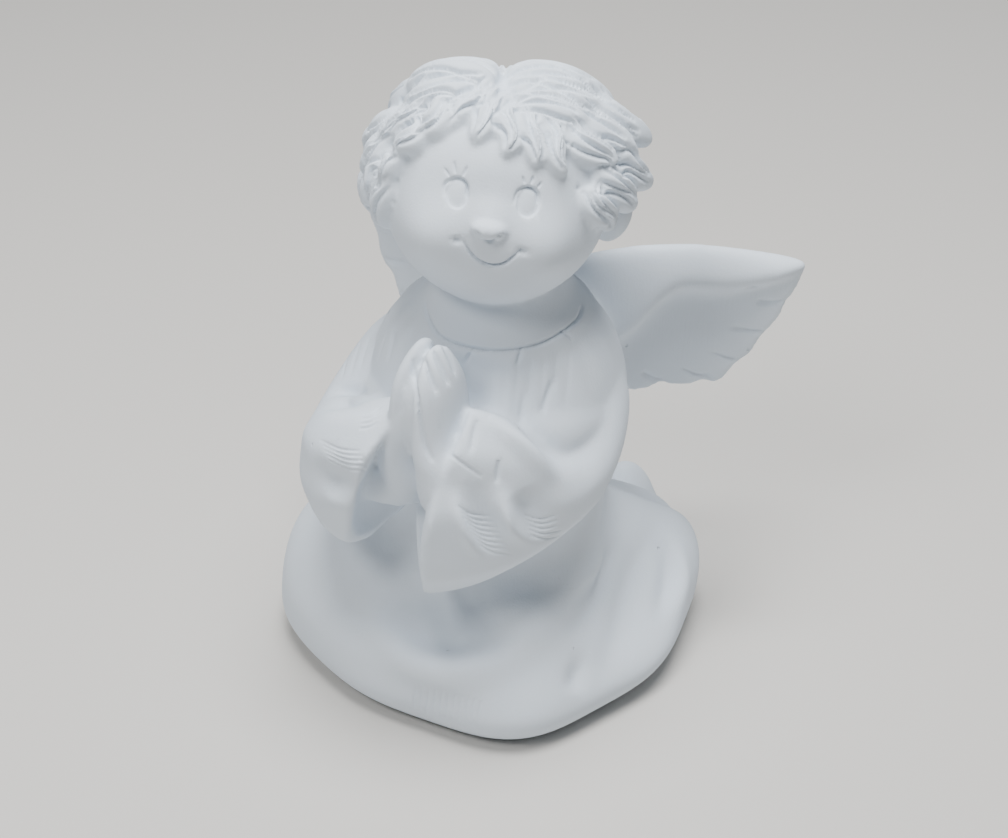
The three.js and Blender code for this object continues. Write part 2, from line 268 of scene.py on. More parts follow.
def addSleeve(bm, arm):
    def place(theta, phi, n):
        s = phi / np.pi
        back = (s - sleeve["rim"]) / (1 - sleeve["rim"])
        inside = back > 0
        t = np.where(inside, mix(1, sleeve["mouth"], back), s / sleeve["rim"])
        above = unit(mix(skyward, np.array(arm["cuffUp"]), t[:, None]))
        tangent = tangentAt(arm["path"], t)
        side = unit(np.cross(tangent, above))
        flare = ease(t, sleeve["flareFrom"], 1)
        full = np.where(inside, np.sqrt(np.maximum(0, 1 - back ** 2)), np.minimum(1, (s / 0.16) ** 0.5))
        ripple = sleeve["foldDepth"] * flare * (np.cos(4 * theta + 5 * t) + 0.5 * np.cos(9 * theta - 3 * t))
        fold = np.where(inside, -arm["wall"], ripple)
        rise = mix(sleeve["elbow"], sleeve["cuffRise"], flare) - sleeve["crease"] * bell(t - sleeve["creaseAt"], 0.16)
        drop = mix(sleeve["elbow"], arm["cuffDrop"], flare)
        v = np.sin(theta)
        across = np.cos(theta) * (sleeve["halfWidth"] + fold) * full
        upward = v * (np.where(v > 0, rise, drop) + fold) * full
        bow = arm["bow"] * v ** 2 * ease(t, 0.6, 1)
        return curveAt(arm["path"], t) + side * across[:, None] + above * upward[:, None] - tangent * bow[:, None]
    addForm(bm, place, around=96, along=90)
    radius = sleeve["crookRadius"]  # a strand fills the crook of the arm
    addStrand(bm, arm["crook"], lambda t: radius, lambda t: radius, lambda p: skyward)


hands = dict(x=-2.5, y=-21, turn=20, wrist=39, knuckles=52, tip=63.6, halfWidth=5.3, halfThick=2.7,
             fillWidth=4.9, fillTaper=1.3, fillThick=1.5)


def addHand(bm, side, arm):
    c, d = math.cos(math.radians(hands["turn"])), math.sin(math.radians(hands["turn"]))

    def at(y, z, x):
        return (hands["x"] + side * x * c + y * d, hands["y"] - side * x * d + y * c, z)

    def halfWidth(t):
        return hands["halfWidth"] * (0.9 + 0.1 * ease(t, 0.3, 0.6) - 0.3 * ease(t, 0.75, 1))

    def halfThick(t):
        return hands["halfThick"] * (1.9 - 0.9 * ease(t, 0.3, 0.6) - 0.25 * ease(t, 0.6, 1))

    def fillWidth(t):
        return hands["fillWidth"] - hands["fillTaper"] * t ** 2
    outwards = np.array([side * c, -side * d, 1.0])
    wrist, knuckles, tip = hands["wrist"], hands["knuckles"], hands["tip"]
    palm = [arm["path"][2], arm["path"][3], at(0.6, wrist + 2, 5), at(0, wrist + 8, 3.4), at(0.2, knuckles, 2.3),
            at(0.4, mix(knuckles, tip, 0.6), 2), at(1, tip, 1.1)]
    addStrand(bm, palm, halfWidth, halfThick, lambda p: outwards, around=40, along=40)
    between = [at(0, knuckles - 6, 0), at(0.4, knuckles + 3, 0), at(0.8, tip - 2.5, 0)]  # no gap between the palms
    addStrand(bm, between, fillWidth, lambda t: hands["fillThick"], lambda p: outwards)


# Wings: u runs from root to tip, q from the lower edge to the upper one
wing = dict(span=32.8, root=6.5, x=7, y=15.6, sweep=25, halfThick=3.3, web=0.26, hollow=2.8, lean=3,
            feathers=6, firstFeather=0.3, scallop=1.2, rightScallop=4.5, cut=0.5, cutWidth=0.5,
            cutSlope=(42, 2), cutLength=(4, 6.5), cutFrom=(-4, 7),
            top=57.5, arch=4.7, rootLow=35, bendLow=36.9, bend=0.66, tipLow=57.2)


def wingEdges(u):
    upper = wing["top"] + wing["arch"] * np.sin(np.pi * (u * 0.85 + 0.12))
    climb = np.maximum(0, (u - wing["bend"]) / (1 - wing["bend"])) ** 1.35
    return mix(mix(wing["rootLow"], wing["bendLow"], ease(u, 0, wing["bend"])), wing["tipLow"], climb), upper


def featherScale():  # u and how many feathers along the lower edge it is
    u = np.linspace(wing["firstFeather"], 1, 200)
    steps = np.hypot(np.diff(u) * (wing["span"] + wing["root"]), np.diff(wingEdges(u)[0]))
    along = np.concatenate([[0], np.cumsum(steps)])
    return u, along / along[-1] * wing["feathers"]


def wingSpot(side):
    return Matrix.Translation((side * wing["x"], wing["y"], 0)) @ turned(side * wing["sweep"], "Z", 4)


def addWing(bm, side):
    scallop = wing["scallop"] if side > 0 else wing["rightScallop"]

    def place(theta, phi, n):
        u = phi / np.pi
        q = np.sin(theta)
        lower, upper = wingEdges(u)
        end = np.minimum(1, np.minimum(6 * u, 2.8 * np.sqrt(np.maximum(0, 1 - u))))
        beat = np.abs(np.sin(np.pi * np.interp(u, *featherScale()))) ** 0.7 * end
        edge = np.where(q > 0, upper, lower - scallop * beat)
        roll = mix(-0.2, 0.4, ease(u, 0.26, 0.52))  # where the rolled edge ends, lower near the root
        rim = np.maximum(ease(q, roll - 0.2, roll + 0.22), ease(-u, -0.32, -0.2) * 0.9)
        thick = wing["halfThick"] * mix(wing["web"], 1, rim) * end
        bend = wing["hollow"] * (1 - rim) * np.sin(np.pi * np.minimum(1, u * 1.1)) + wing["lean"] * (u - 0.4) ** 2
        z = mix((upper + lower) / 2, edge, np.abs(q) * np.minimum(1, 12 * u))
        blunt = np.cos(theta) * np.abs(np.cos(theta)) ** np.where(q > 0, 0, -0.5)
        return stack(side * mix(-wing["root"], wing["span"], u), bend + blunt * thick, z)
    addForm(bm, place, around=120, along=160, spot=wingSpot(side))


# The head is made round its own centre, facing -Y, then turned and bowed into place
head = dict(radius=15.2, x=-0.2, y=-2, z=77.8, turn=19, pitch=14, roll=6)
face = dict(cheek=0.15, chin=0.06, brow=-0.05, bridge=0.055, nose=(2.4, 2.1, 1.35), noseBelow=1.75, noseDeep=0.5)
eye = dict(aside=4.7, above=2.1, halfWidth=1.5, halfHeight=1.9, depth=0.42, dome=0.3, inner=0.85, outer=1.12, reach=4)
headTurn = turned(head["turn"], "Z", 3) @ turned(-head["pitch"], "X", 3) @ turned(head["roll"], "Y", 3)
headSpot = Matrix.Translation((head["x"], head["y"], head["z"])) @ headTurn.to_4x4()


def headReach(n):
    facing = np.maximum(0, -n[:, 1])
    cheek = facing * bell(np.abs(n[:, 0]) - 0.5, 0.28) * bell(n[:, 2] + 0.3, 0.28)
    chin = facing * bell(n[:, 0], 0.35) * bell(n[:, 2] + 0.72, 0.3)
    brow = facing * bell(n[:, 0], 0.6) * bell(n[:, 2] - 0.15, 0.22)
    bridge = facing * bell(n[:, 0], 0.14) * bell(n[:, 2] + 0.03, 0.15)
    swell = 1 + face["cheek"] * cheek + face["chin"] * chin + face["brow"] * brow + face["bridge"] * bridge
    return head["radius"] * swell


def facePoint(aside, above):
    aside, above = np.atleast_1d(aside).astype(float), np.atleast_1d(above).astype(float)
    n = unit(stack(aside, -np.sqrt(np.maximum(1, head["radius"] ** 2 - aside ** 2 - above ** 2)), above))
    return n * headReach(n)[:, None]


def addHead(bm):
    addForm(bm, lambda theta, phi, n: n * headReach(n)[:, None], around=160, along=120, spot=headSpot)
    button = facePoint(0, -face["noseBelow"])[0] + np.array([0, face["noseDeep"], 0])
    addForm(bm, lambda theta, phi, n: n * np.array(face["nose"]) + button, around=40, along=30, spot=headSpot)


# Hair: a cap under fans of locks; each fan goes from its first lock to its last
# Each row at the back: heights in degrees where its locks start and end, then how many
hair = dict(centre=(0, 2.4, 1.2), half=(15.2, 15.2, 12.6), thick=3, ridges=3, ridgeDepth=0.1,
            backRows=((76, 44, 7), (56, 18, 9), (30, -6, 9), (2, -30, 9)), backTurn=(84, 276),
            backWide=4.2, backLift=0.4, topThick=0.6, strands=(-0.62, -0.2, 0.25, 0.66),
            strandReach=0.9, strandPoints=12, cutWidth=0.38, cut=0.75)
hairFans = dict(
    leftCrown=dict(count=3, start=((-20, 70), (-30, 46)), end=((-96, 40), (-46, 28)),
                   wide=(6, 4.2), lift=(0.6, 0.3), thick=(1.35, 1)),
    leftSide=dict(count=4, start=((-70, 36), (-52, 2)), end=((-86, 2), (-66, -30)), wide=(4, 2.8), lift=(0.2, 0.5)),
    leftTemple=dict(count=2, start=((-44, 32), (-50, 14)), end=((-49, 12), (-58, -4)), wide=(2.6, 2.2), lift=(0, 0)),
    leftGap=dict(count=2, start=((-50, 48), (-56, 40)), end=((-60, 18), (-70, 12)), wide=(2.8, 2.8), lift=(0.3, 0.3)),
    fringe=dict(count=5, start=((-14, 64), (22, 46)), end=((-28, 32), (32, 16)), wide=(3, 2.3), lift=(0.4, 0.4)),
    rightCrown=dict(count=3, start=((0, 70), (4, 54)), end=((98, 42), (52, 37)),
                    wide=(5.6, 4.2), lift=(2.6, 0.8), thick=(1.3, 1.1)),
    rightSweep=dict(count=3, start=((48, 64), (38, 40)), end=((95, 22), (60, 14)), wide=(4.6, 3), lift=(5, 1)),
    rightSide=dict(count=3, start=((54, 22), (46, 8)), end=((92, 4), (60, -14)), wide=(3.4, 2.6), lift=(4, 0.6)))


def scalpPoint(turn, rise, off):
    turn, rise = math.radians(turn), math.radians(rise)
    n = np.array([math.sin(turn) * math.cos(rise), -math.cos(turn) * math.cos(rise), math.sin(rise)])
    return n * np.array(hair["half"]) + n * off + np.array(hair["centre"])


def lockPath(start, end, lift, sway):
    points = []
    for t in (0, 0.35, 0.7, 1):
        turn = mix(start[0], end[0], t) + sway * math.sin(math.pi * 2 * t)
        rise = mix(start[1], end[1], t) + abs(end[0] - start[0]) * 0.12 * math.sin(math.pi * t)
        points.append(scalpPoint(turn, rise, 1.4 * math.sin(2.4 * t) + lift * t ** 3))
    return points


def hairLocks():  # the middle line, half width and half thickness of every lock
    locks = []
    for fan in hairFans.values():
        for k in range(fan["count"]):
            f = k / (fan["count"] - 1)
            start = [mix(fan["start"][0][i], fan["start"][1][i], f) for i in (0, 1)]
            end = [mix(fan["end"][0][i], fan["end"][1][i], f) for i in (0, 1)]
            path = lockPath(start, end, mix(*fan["lift"], f), 3 * math.sin(5 * k + 1))
            locks.append((path, mix(*fan["wide"], f), hair["thick"] * mix(*fan.get("thick", (1, 1)), f)))
    for row, (high, low, count) in enumerate(hair["backRows"]):
        for k in range(count):
            turn = mix(*hair["backTurn"], (k + 0.5) / count) + 6 * math.sin(3 * k + row)
            end = (turn + 14 * math.sin(2 * k + row), low)
            path = lockPath((turn, high), end, hair["backLift"], 5 * math.sin(4 * k))
            locks.append((path, hair["backWide"], hair["thick"] * (hair["topThick"] if row == 0 else 1)))
    return locks


def addHair(bm):
    half, centre = np.array(hair["half"]), np.array(hair["centre"])
    addForm(bm, lambda theta, phi, n: n * half + centre, around=80, along=60, spot=headSpot)
    for path, wide, thick in hairLocks():
        addStrand(bm, path, lambda t: wide * mix(1, 0.45, t ** 2), lambda t: thick * mix(1, 0.8, t), lambda p: p,
                  headSpot, hair["ridges"], hair["ridgeDepth"], around=72, along=28)


def carveHair(bm):  # strand lines along the top of every lock
    tree = BVHTree.FromBMesh(bm)
    lines = []
    for k, (path, wide, thick) in enumerate(hairLocks()):
        for off in hair["strands"]:
            t = np.linspace(0.12 + 0.06 * math.sin(k + 9 * off), 0.94, 40)
            centre, tangent = curveAt(path, t), tangentAt(path, t)
            side = unit(np.cross(tangent, centre))
            wave = off + 0.12 * np.sin(7 * t + k + 5 * off)
            out = np.cross(side, tangent) * (thick * math.sqrt(1 - off ** 2))
            spots = centre + side * (wave * wide * (1 - 0.55 * t ** 2))[:, None] + out
            line = []
            for spot in spots:
                hit, _, _, gap = tree.find_nearest(headSpot @ Vector(spot))
                if gap < hair["strandReach"]:
                    line.append(hit)
            if len(line) > hair["strandPoints"]:
                lines.append(np.array(line))
    splitNear(bm, [(line, hair["cutWidth"]) for line in lines], levels=1, reach=0.45)
    co, normal = pointsOf(bm)
    push = np.zeros(len(co))
    for line in lines:
        push = np.minimum(push, pressLine(co, line, hair["cutWidth"], -hair["cut"]))
    moveTo(bm, co + normal * push[:, None])


# Strokes drawn on the figure through the camera, in pixels of its 1008 x 838 picture: width and height in mm
broadStrokes = dict(
    lapHollow=dict(points=[(380, 590), (440, 622), (500, 610)], width=5, height=-2.5),
    lapRoll=dict(points=[(362, 575), (392, 640), (442, 668), (500, 661), (556, 616)], width=2.6, height=2.7),
    kneeFill=dict(points=[(580, 590), (530, 615), (490, 640)], width=6, height=2.6),
    legFill=dict(points=[(596, 490), (582, 540), (566, 580), (548, 612)], width=4.5, height=2.2),
    legDrape=dict(points=[(606, 526), (592, 558), (579, 580), (549, 636)], width=2.8, height=1.5),
    legCrease=dict(points=[(616, 536), (606, 564), (595, 588), (562, 648)], width=2, height=-1.6),
    hemDip=dict(points=[(590, 648), (577, 676), (572, 696)], width=1.8, height=-1.1),
    hipRidge=dict(points=[(676, 530), (682, 580), (669, 630)], width=1.8, height=1),
    hipDip=dict(points=[(664, 535), (668, 580), (654, 628)], width=1.6, height=-1),
    leftSleeveTop=dict(points=[(482, 410), (522, 447), (562, 483)], width=1.3, height=1.6),
    leftSleeveCrook=dict(points=[(498, 402), (534, 436), (574, 478)], width=1.8, height=-0.7),
    leftFoldRidge=dict(points=[(497, 478), (505, 510), (515, 530), (542, 550)], width=1.2, height=1.5),
    leftFoldDip=dict(points=[(520, 488), (532, 512), (552, 532)], width=2.2, height=-1.5),
    leftCuffRidge=dict(points=[(452, 484), (459, 518), (472, 542), (487, 564)], width=1.1, height=1.1),
    leftCuffDip=dict(points=[(472, 478), (478, 508), (490, 532), (506, 552)], width=2, height=-1.3),
    rightArmDip=dict(points=[(316, 387), (346, 391), (382, 392)], width=1, height=-1),
    rightArmRoll=dict(points=[(316, 398), (348, 402), (382, 402)], width=1.5, height=0.9),
    rightCuffDip=dict(points=[(310, 462), (334, 482), (354, 470)], width=2.2, height=-1.2),
    rightCuffRoll=dict(points=[(318, 486), (336, 498), (352, 488)], width=1.8, height=0.7))

# Strokes laid on the nearest skin where the camera doesn't look, points in mm
farStrokes = dict(
    leftArmBack=dict(points=[(13, 12.5, 55), (15.5, 11, 48), (16.3, 8.5, 41), (15.6, 3, 35.5)], width=1.8, height=-1.3),
    rightArmBack=dict(points=[(-14, 9, 55), (-17, 7, 48), (-18.5, 3, 41), (-17, -2, 35)], width=1.8, height=-1.3),
    backMiddle=dict(points=[(-2, 17, 38), (-2, 22, 20), (-3, 27, 5)], width=2.2, height=-1.5),
    backLeft=dict(points=[(10, 15, 33), (18, 20, 17), (21, 23, 5)], width=1.8, height=-1.1),
    backRight=dict(points=[(-14, 14, 33), (-23, 18, 18), (-27, 20, 5)], width=1.8, height=-1.1),
    rightSide=dict(points=[(-19, 6, 31), (-29, 8, 17), (-33, 9, 5)], width=1.8, height=-0.9))

# Rows of like strokes, also through the camera: the first one, the step to the next and how many
combs = dict(
    leftSleeve=dict(points=[(458, 506), (472, 514), (492, 516)], step=(3, 5.5), count=8, width=0.2, height=-0.2),
    leftElbow=dict(points=[(524, 515), (540, 519), (557, 515)], step=(1.5, 5), count=5, width=0.2, height=-0.2),
    rightSleeve=dict(points=[(320, 440), (340, 449), (361, 451)], step=(2, 5), count=5, width=0.2, height=-0.18),
    rightCuff=dict(points=[(362, 414), (372, 412), (381, 407)], step=(-1, 5), count=4, width=0.2, height=-0.18),
    hem=dict(points=[(416, 684), (414, 698), (413, 712)], step=(6.5, 1.6), count=11, width=0.22, height=-0.18),
    chest=dict(points=[(492, 368), (490, 396), (487, 424)], step=(13, -3), count=7, width=0.4, height=-0.1),
    shoulder=dict(points=[(352, 345), (346, 362), (342, 378)], step=(9, -4), count=5, width=0.3, height=-0.14))

fineStrokes = dict(
    collarLine=dict(points=[(425, 300), (428, 318), (445, 340), (490, 351), (540, 344), (575, 322), (583, 305)],
                    width=0.32, height=-0.6),
    collarTickA=dict(points=[(472, 350), (466, 362)], width=0.3, height=-0.4),
    collarTickB=dict(points=[(522, 349), (517, 364)], width=0.3, height=-0.45),
    collarTickC=dict(points=[(562, 330), (572, 338)], width=0.3, height=-0.35),
    chestFoldA=dict(points=[(553, 380), (548, 395), (542, 412)], width=0.5, height=-0.55),
    chestFoldB=dict(points=[(524, 392), (520, 424)], width=0.5, height=-0.3),
    chestFoldC=dict(points=[(394, 332), (388, 360)], width=0.5, height=-0.35),
    cuffFold=dict(points=[(477, 420), (471, 452)], width=0.45, height=-0.4),
    sleeveCutA=dict(points=[(450, 455), (482, 477)], width=0.28, height=-0.25),
    sleeveCutB=dict(points=[(499, 460), (497, 482)], width=0.35, height=-0.4),
    palmLine=dict(points=[(413, 358), (417, 400), (424, 440), (433, 462)], width=0.4, height=-0.5),
    fingerA=dict(points=[(431, 348), (440, 364), (449, 384)], width=0.4, height=-0.55),
    fingerB=dict(points=[(424, 360), (430, 376), (437, 393)], width=0.4, height=-0.55),
    fingerC=dict(points=[(442, 342), (450, 358), (456, 374)], width=0.4, height=-0.5),
    smile=dict(points=[(464, 242), (472, 255), (482, 263), (493, 266), (504, 264), (512, 258), (520, 251)],
               width=0.24, height=-0.65),
    smileCornerA=dict(points=[(453, 240), (462, 241)], width=0.5, height=-0.5),
    smileCornerB=dict(points=[(518, 250), (527, 253)], width=0.5, height=-0.5),
    noseLine=dict(points=[(484, 239.5), (490, 241.5), (497, 239)], width=0.26, height=-0.5),
    nostrilA=dict(points=[(475, 233), (480, 235.5)], width=0.3, height=-0.4),
    nostrilB=dict(points=[(497, 238), (502, 236)], width=0.3, height=-0.4),
    lidA=dict(points=[(444, 196), (445, 184), (456, 178), (466, 184), (466, 197)], width=0.24, height=-0.42),
    lidB=dict(points=[(514, 203), (518, 192), (527, 187.5), (537, 192), (538, 202)], width=0.24, height=-0.42),
    lashA=dict(points=[(449, 176), (445, 169)], width=0.18, height=-0.25),
    lashB=dict(points=[(455, 173), (454, 162)], width=0.18, height=-0.25),
    lashC=dict(points=[(463, 176), (467, 167)], width=0.18, height=-0.25),
    lashD=dict(points=[(525, 184), (523, 177)], width=0.18, height=-0.25),
    lashE=dict(points=[(531, 184), (534, 176)], width=0.18, height=-0.25),
    lashF=dict(points=[(538, 188), (541, 183)], width=0.18, height=-0.25))


def cameraFrame():
    turn, lift = math.radians(view["azimuth"]), math.radians(view["elevation"])
    away = Vector((math.sin(turn) * math.cos(lift), -math.cos(turn) * math.cos(lift), math.sin(lift)))
    right = Vector((math.cos(turn), math.sin(turn), 0))
    return away, right, away.cross(right)


def castStroke(tree, stroke):
    away, right, up = cameraFrame()
    eyeSpot = (view["aim"] + view["distance"] * away) / mm
    points = np.array([(x, y, 0) for x, y in stroke["points"]], float)
    length = np.linalg.norm(np.diff(points, axis=0), axis=1).sum()
    flat = curveAt(points, np.linspace(0, 1, int(length) + 8))
    hits = []
    for x, y, _ in flat:
        ray = right * (x - view["imageWidth"] / 2) - up * (y - view["imageHeight"] / 2) - away * view["focal"]
        spot = tree.ray_cast(eyeSpot, ray.normalized())[0]
        if spot:
            hits.append(spot)
    return np.array(hits)


def layStroke(tree, stroke):
    line = curveAt(stroke["points"], np.linspace(0, 1, 80))
    return np.array([tree.find_nearest(Vector(spot))[0] for spot in line])


def pressLine(co, line, width, height, taper=0.4):  # how far each point moves along its normal
    near = np.flatnonzero(np.all((co > line.min(0) - 3 * width) & (co < line.max(0) + 3 * width), axis=1))
    gap = np.linalg.norm(co[near][:, None] - line[None], axis=2)
    nearest = gap.argmin(axis=1)
    fade = np.sin(np.pi * (nearest + 0.5) / len(line)) ** taper
    push = np.zeros(len(co))
    push[near] = height * fade * bell(gap.min(axis=1), width)
    return push


def pointsOf(bm):
    bm.normal_update()
    return np.array([v.co for v in bm.verts]), np.array([v.normal for v in bm.verts])


def moveTo(bm, co):
    for vert, spot in zip(bm.verts, co):
        vert.co = spot


def drawBroad(bm):
    tree = BVHTree.FromBMesh(bm)
    co, normal = pointsOf(bm)
    push = np.zeros(len(co))
    lines = [(castStroke(tree, stroke), stroke) for stroke in broadStrokes.values()]
    lines += [(layStroke(tree, stroke), stroke) for stroke in farStrokes.values()]
    for line, stroke in lines:
        push += pressLine(co, line, stroke["width"], stroke["height"], taper=1.6)
    moveTo(bm, co + normal * push[:, None])


def splitNear(bm, lines, levels=2, reach=0.5):  # finer faces where thin strokes run
    for _ in range(levels):
        co = pointsOf(bm)[0]
        close = np.zeros(len(co), bool)
        for line, width in lines:
            close |= pressLine(co, line, max(2.2 * width, reach), 1) > 0.3
        bm.verts.ensure_lookup_table()
        edges = {e for i in np.flatnonzero(close) for e in bm.verts[i].link_edges}
        bmesh.ops.subdivide_edges(bm, edges=list(edges), cuts=1, use_grid_fill=False)
        bmesh.ops.triangulate(bm, faces=[f for f in bm.faces if len(f.verts) > 3])


def drawFine(bm):
    tree = BVHTree.FromBMesh(bm)
    strokes = list(fineStrokes.values())
    for comb in combs.values():
        for k in range(comb["count"]):
            points = [(x + k * comb["step"][0], y + k * comb["step"][1]) for x, y in comb["points"]]
            strokes.append(dict(points=points, width=comb["width"], height=comb["height"]))
    lines = [(castStroke(tree, stroke), stroke["width"], stroke["height"]) for stroke in strokes]
    lines += [(layStroke(tree, stroke), stroke["width"], stroke["height"]) for stroke in toeStrokes()]
    eyeSpots = [facePoint(side * eye["aside"], eye["above"])[0] for side in (-1, 1)]
    rims = [np.array([headSpot @ Vector(spot)]) for spot in eyeSpots]
    near = [(line, width) for line, width, height in lines] + [(rim, eye["halfWidth"]) for rim in rims]
    splitNear(bm, near, reach=0.35)
    co, normal = pointsOf(bm)
    push = np.zeros(len(co))
    for line, width, height in lines:
        push += pressLine(co, line, width, height)
    inside = np.array(headSpot.inverted())
    local = co @ inside[:3, :3].T + inside[:3, 3]
    for spot in eyeSpots:  # each eye a shallow oval with a low dome in it
        off = local - spot
        ring = np.hypot(off[:, 0] / eye["halfWidth"], off[:, 2] / eye["halfHeight"])
        here = np.abs(off[:, 1]) < eye["reach"]
        oval = eye["depth"] * ease(-ring, -eye["outer"], -eye["inner"])
        push -= here * (oval - eye["dome"] * np.maximum(0, 1 - ring ** 2))
    moveTo(bm, co + normal * push[:, None])


def carveFeathers(bm):  # short cuts that run in from the notches of each wing's lower edge, front and back
    tree = BVHTree.FromBMesh(bm)
    lines = []
    for k in range(1, wing["feathers"]):
        u = np.interp(k, *reversed(featherScale()))
        f = (k - 1) / (wing["feathers"] - 2)
        low = wingEdges(np.array([u]))[0][0]
        slope, length = math.radians(mix(*wing["cutSlope"], f)), mix(*wing["cutLength"], f)
        for side in (-1, 1):
            for depth in wing["cutFrom"]:
                line = []
                for t in np.linspace(-0.1, 1, 30):
                    x = mix(-wing["root"], wing["span"], u) - length * t * math.cos(slope)
                    spot = wingSpot(side) @ Vector((side * x, depth, low + length * t * math.sin(slope)))
                    line.append(tree.find_nearest(spot)[0])
                lines.append(np.array(line))
    splitNear(bm, [(line, wing["cutWidth"]) for line in lines], levels=1)
    co, normal = pointsOf(bm)
    push = sum(pressLine(co, line, wing["cutWidth"], -wing["cut"]) for line in lines)
    moveTo(bm, co + normal * push[:, None])


def sculptFigure():
    bm = bmesh.new()
    addGown(bm)
    addNeck(bm)
    for side in (-1, 1):
        addWing(bm, side)
    fuse(bm, "robe")
    for arm in arms.values():
        addSleeve(bm, arm)
    for side in (-1, 1):
        addFoot(bm, side)
    fuse(bm, "sleeves")
    addHand(bm, 1, arms["left"])
    addHand(bm, -1, arms["right"])
    addHead(bm)
    addHair(bm)
    fuse(bm, "figure")
    bmesh.ops.bisect_plane(bm, geom=bm.verts[:] + bm.edges[:] + bm.faces[:], plane_co=(0, 0, 0), plane_no=(0, 0, -1),
                           clear_outer=True, dist=1e-4)
    bmesh.ops.holes_fill(bm, edges=[e for e in bm.edges if e.is_boundary], sides=0)
    bmesh.ops.triangulate(bm, faces=bm.faces)
    drawBroad(bm)
    print("folds drawn")
    carveHair(bm)
    carveFeathers(bm)
    print("hair and feathers cut,", len(bm.faces), "faces")
    drawFine(bm)
    print("face and fine lines cut,", len(bm.faces), "faces")
    thin(bm, sculpt["triangles"])
    return bm


def thin(bm, triangles):
    bmesh.ops.triangulate(bm, faces=bm.faces)
    throughModifier(bm, "thin", "DECIMATE", ratio=min(1, triangles / len(bm.faces)))
    corners = {}
    for tri in bm.faces:
        corners.setdefault(frozenset(tri.verts), []).append(tri)
    # specks that are left as two faces back to back
    twins = [tri for same in corners.values() if len(same) > 1 for tri in same]
    bmesh.ops.delete(bm, geom=twins, context="FACES")


hollows = dict(rounds=4, gain=2.5)


def markHollows(mesh):  # positive in creases, negative on ridges; the plaster darkens creases by it as painted shade
    co = np.empty(len(mesh.vertices) * 3)
    normal = np.empty(len(mesh.vertices) * 3)
    pair = np.empty(len(mesh.edges) * 2, dtype=np.int32)
    mesh.vertices.foreach_get("co", co)
    mesh.vertices.foreach_get("normal", normal)
    mesh.edges.foreach_get("vertices", pair)
    co, normal, pair = co.reshape(-1, 3), normal.reshape(-1, 3), pair.reshape(-1, 2)
    near = np.concatenate([pair, pair[:, ::-1]])
    count = np.bincount(near[:, 0], minlength=len(co))
    away = co[near[:, 1]] - co[near[:, 0]]
    lean = np.sum(unit(away) * normal[near[:, 0]], axis=1)
    bend = np.bincount(near[:, 0], lean, len(co)) / count
    for _ in range(hollows["rounds"]):
        bend = 0.5 * bend + 0.5 * np.bincount(near[:, 0], bend[near[:, 1]], len(co)) / count
    mark = mesh.attributes.new("hollow", "FLOAT", "POINT")
    mark.data.foreach_set("value", np.clip(bend * hollows["gain"], -1, 1))


def finishPiece(bm, name):
    bmesh.ops.scale(bm, vec=(mm, mm, mm), verts=bm.verts)
    mesh = bpy.data.meshes.new(name)
    bm.to_mesh(mesh)
    bm.free()
    mesh.shade_smooth()
    markHollows(mesh)
    piece = addObject(name, mesh)
    print(name, len(mesh.polygons), "triangles")
    return piece


class Wire:  # a shader socket that can be used in sums
    def __init__(self, tree, socket):
        self.tree = tree
        self.socket = socket

    def feed(self, socket, value):
        if isinstance(value, Wire):
            self.tree.links.new(value.socket, socket)
        else:
            socket.default_value = value

    def node(self, kind, output, settings, values):
        made = self.tree.nodes.new("ShaderNode" + kind)
        for key, value in settings.items():
            setattr(made, key, value)
        for key, value in values.items():
            self.feed(made.inputs[key], value)
        return Wire(self.tree, made.outputs[output])

    def sum(self, operation, a, b):
        return self.node("Math", 0, {"operation": operation}, {0: a, 1: b})

    def __add__(self, other):
        return self.sum("ADD", self, other)

    def __radd__(self, other):
        return self.sum("ADD", other, self)

    def __sub__(self, other):
        return self.sum("SUBTRACT", self, other)

    def __rsub__(self, other):
        return self.sum("SUBTRACT", other, self)

    def __mul__(self, other):
        return self.sum("MULTIPLY", self, other)

    def __rmul__(self, other):
        return self.sum("MULTIPLY", other, self)

    def above(self, low, high):  # 0 under low, 1 over high
        return self.node("MapRange", 0, {"interpolation_type": "SMOOTHSTEP"},
                         {"Value": self, "From Min": low, "From Max": high})

    def stretched(self, scale):  # a vector scaled along each axis
        return self.node("VectorMath", 0, {"operation": "MULTIPLY"}, {0: self, 1: scale})

    def noise(self, scale, detail):
        return self.node("TexNoise", "Fac", {}, {"Vector": self, "Scale": scale, "Detail": detail, "Roughness": 0.6})


# Scales of the textures are per metre; grain, brush and pits are how far each one dents the surface
# The crease and pit darkening is painted shade in the colour; the cloudy darkening is random mottling of the plaster
plasterLook = dict(pale=(0.73, 0.8, 0.88, 1), shadeAndDustTint=(0.52, 0.58, 0.65, 1), roughness=0.88, specular=0.3,
                   grain=0.05, brush=0.05, pits=0.25, bump=0.0006, cloudScale=160, grainScale=3200,
                   brushScale=(2600, 2600, 130), brushTop=(0.056, 0.06), pitScale=420, rarePits=(0.93, 0.96),
                   hollowShade=0.95, cloudDust=0.06, pitShade=0.4)


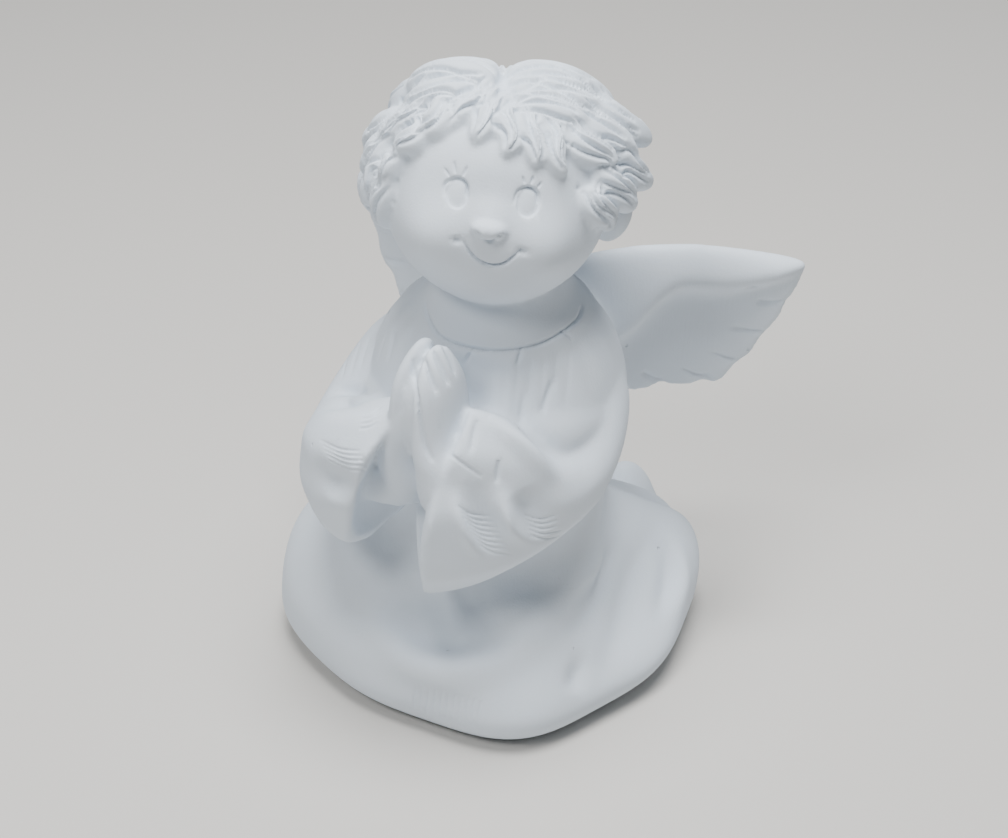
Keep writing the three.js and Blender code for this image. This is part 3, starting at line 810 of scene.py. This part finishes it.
def plaster():
    look = plasterLook
    mat = bpy.data.materials.new("plaster")
    mat.use_nodes = True
    start = Wire(mat.node_tree, None)
    place = start.node("TexCoord", "Object", {}, {})
    height = start.node("SeparateXYZ", "Z", {}, {"Vector": place})
    hollow = start.node("Attribute", "Fac", {"attribute_name": "hollow"}, {})
    cloud = place.noise(look["cloudScale"], 3)
    grain = place.noise(look["grainScale"], 2)
    streak = place.stretched(look["brushScale"]).noise(1, 2)
    cell = start.node("TexVoronoi", "Distance", {}, {"Vector": place, "Scale": look["pitScale"]})
    pick = start.node("TexVoronoi", "Color", {}, {"Vector": place, "Scale": look["pitScale"]})
    rare = start.node("SeparateColor", 0, {}, {"Color": pick}).above(*look["rarePits"])
    pit = rare * (1 - cell.above(0.06, 0.14))
    brushed = 1 - height.above(*look["brushTop"])
    # Painted shade: creases (by the hollow attribute) turn towards the darker tint, with random cloudy mottling added
    shadeAndDust = hollow.above(0.1, 0.6) * look["hollowShade"] + cloud.above(0.5, 0.8) * look["cloudDust"]
    # Pits turn darker as well: painted shade in the pinholes
    shadeAndDust = shadeAndDust + pit * look["pitShade"]
    tint = start.node("Mix", 2, {"data_type": "RGBA", "clamp_factor": True},
                      {0: shadeAndDust, 6: look["pale"], 7: look["shadeAndDustTint"]})
    relief = grain * look["grain"] + streak * brushed * look["brush"] - pit * look["pits"]
    bump = start.node("Bump", "Normal", {}, {"Height": relief, "Strength": 1.0, "Distance": look["bump"]})
    finish = {"Base Color": tint, "Normal": bump, "Roughness": look["roughness"],
              "Specular IOR Level": look["specular"]}
    for key, value in finish.items():
        start.feed(mat.node_tree.nodes["Principled BSDF"].inputs[key], value)
    return mat


figure = finishPiece(sculptFigure(), "angel_cast")
figure.data.materials.append(plaster())
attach(figure, "root")
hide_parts("angel_figure")

stage = dict(halfSize=3, colour=(0.62, 0.6, 0.57, 1), roughness=0.9)


def addStage():
    bm = bmesh.new()
    bmesh.ops.create_grid(bm, x_segments=1, y_segments=1, size=stage["halfSize"])
    mesh = bpy.data.meshes.new("floor")
    bm.to_mesh(mesh)
    bm.free()
    floor = addObject("floor", mesh)
    mat = bpy.data.materials.new("floor")
    mat.use_nodes = True
    shader = mat.node_tree.nodes["Principled BSDF"]
    shader.inputs["Base Color"].default_value = stage["colour"]
    shader.inputs["Roughness"].default_value = stage["roughness"]
    mesh.materials.append(mat)


lampAim = Vector((0, 0, 0.045))
lamps = dict(key=dict(spot=(0.03, -0.02, 0.6), size=0.36, power=6, colour=(0.98, 0.99, 1)),
             front=dict(spot=(-0.12, -0.34, 0.46), size=0.16, power=1.2, colour=(1, 0.99, 0.97)))
sky = dict(colour=(0.88, 0.94, 1, 1), strength=0.14)


def addLights():
    for name, look in lamps.items():
        lamp = bpy.data.lights.new(name, "AREA")
        lamp.shape = "DISK"
        lamp.size = look["size"]
        lamp.energy = look["power"]
        lamp.color = look["colour"]
        holder = addObject(name, lamp)
        holder.location = look["spot"]
        holder.rotation_euler = (lampAim - Vector(look["spot"])).to_track_quat("-Z", "Y").to_euler()
    world = bpy.data.worlds.new("studio")
    world.use_nodes = True
    world.node_tree.nodes["Background"].inputs["Color"].default_value = sky["colour"]
    world.node_tree.nodes["Background"].inputs["Strength"].default_value = sky["strength"]
    bpy.context.scene.world = world


def addCamera():
    cam = bpy.data.cameras.new("camera")
    cam.sensor_fit = "HORIZONTAL"
    cam.sensor_width = view["sensor"]
    cam.lens = view["focal"] / view["imageWidth"] * cam.sensor_width
    cam.clip_start = view["clipStart"]
    holder = addObject("camera", cam)
    away = cameraFrame()[0]
    holder.location = view["aim"] + view["distance"] * away
    holder.rotation_euler = away.to_track_quat("Z", "Y").to_euler()
    bpy.context.scene.camera = holder


addStage()
addLights()
addCamera()
print("stage, lights and camera set")
